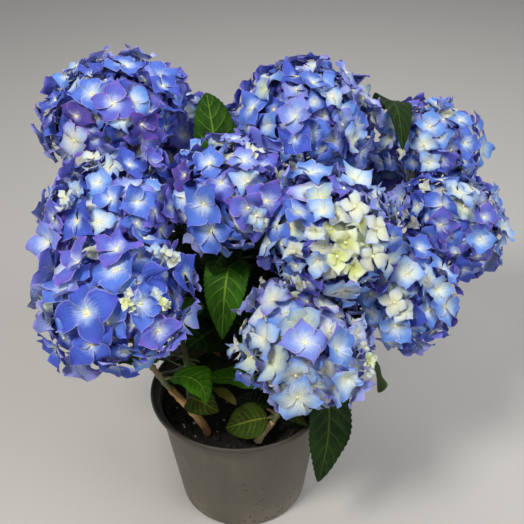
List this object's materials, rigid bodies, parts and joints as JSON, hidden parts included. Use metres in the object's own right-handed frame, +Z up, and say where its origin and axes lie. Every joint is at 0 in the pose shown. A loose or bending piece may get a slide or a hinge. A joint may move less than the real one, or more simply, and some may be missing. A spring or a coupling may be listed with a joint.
{
  "type": "potted mophead hydrangea",
  "caption": "Bushy flowering shrub with round blue flower heads and broad toothed leaves, in a round tapered nursery pot.",
  "frame": {"origin": "centre of the pot's flat underside, on the ground", "axes": "+Z up, -Y towards the side that the picture shows, +X to that side's right"},
  "size_m": [0.4837, 0.4365, 0.4716],
  "materials": {
    "pot": "matt grey-brown plastic",
    "compost": "moist dark peat compost",
    "bark": "dry tan bark",
    "foliage": "satin green leaf",
    "blossom": "soft blue petals"
  },
  "bodies": {
    "root": {"pot": "pot", "compost": "compost", "cane_front_left": "bark", "cane_front_right": "bark", "cane_rear_left": "bark", "cane_rear_right": "bark", "leafy_shoot_top_left": "foliage", "leafy_shoot_mid_left": "foliage", "leafy_shoot_front_left": "foliage", "leafy_shoot_top_centre": "foliage", "leafy_shoot_centre": "foliage", "leafy_shoot_centre_front": "foliage", "leafy_shoot_bottom_front": "foliage", "leafy_shoot_top_right": "foliage", "leafy_shoot_mid_right": "foliage", "leafy_shoot_low_right": "foliage", "leafy_shoot_rear_left": "foliage", "leafy_shoot_rear_right": "foliage", "flower_head_top_left": "blossom", "flower_head_mid_left": "blossom", "flower_head_front_left": "blossom", "flower_head_top_centre": "blossom", "flower_head_centre": "blossom", "flower_head_centre_front": "blossom", "flower_head_bottom_front": "blossom", "flower_head_top_right": "blossom", "flower_head_mid_right": "blossom", "flower_head_low_right": "blossom", "flower_head_rear_left": "blossom", "flower_head_rear_right": "blossom"}
  },
  "joints": []
}
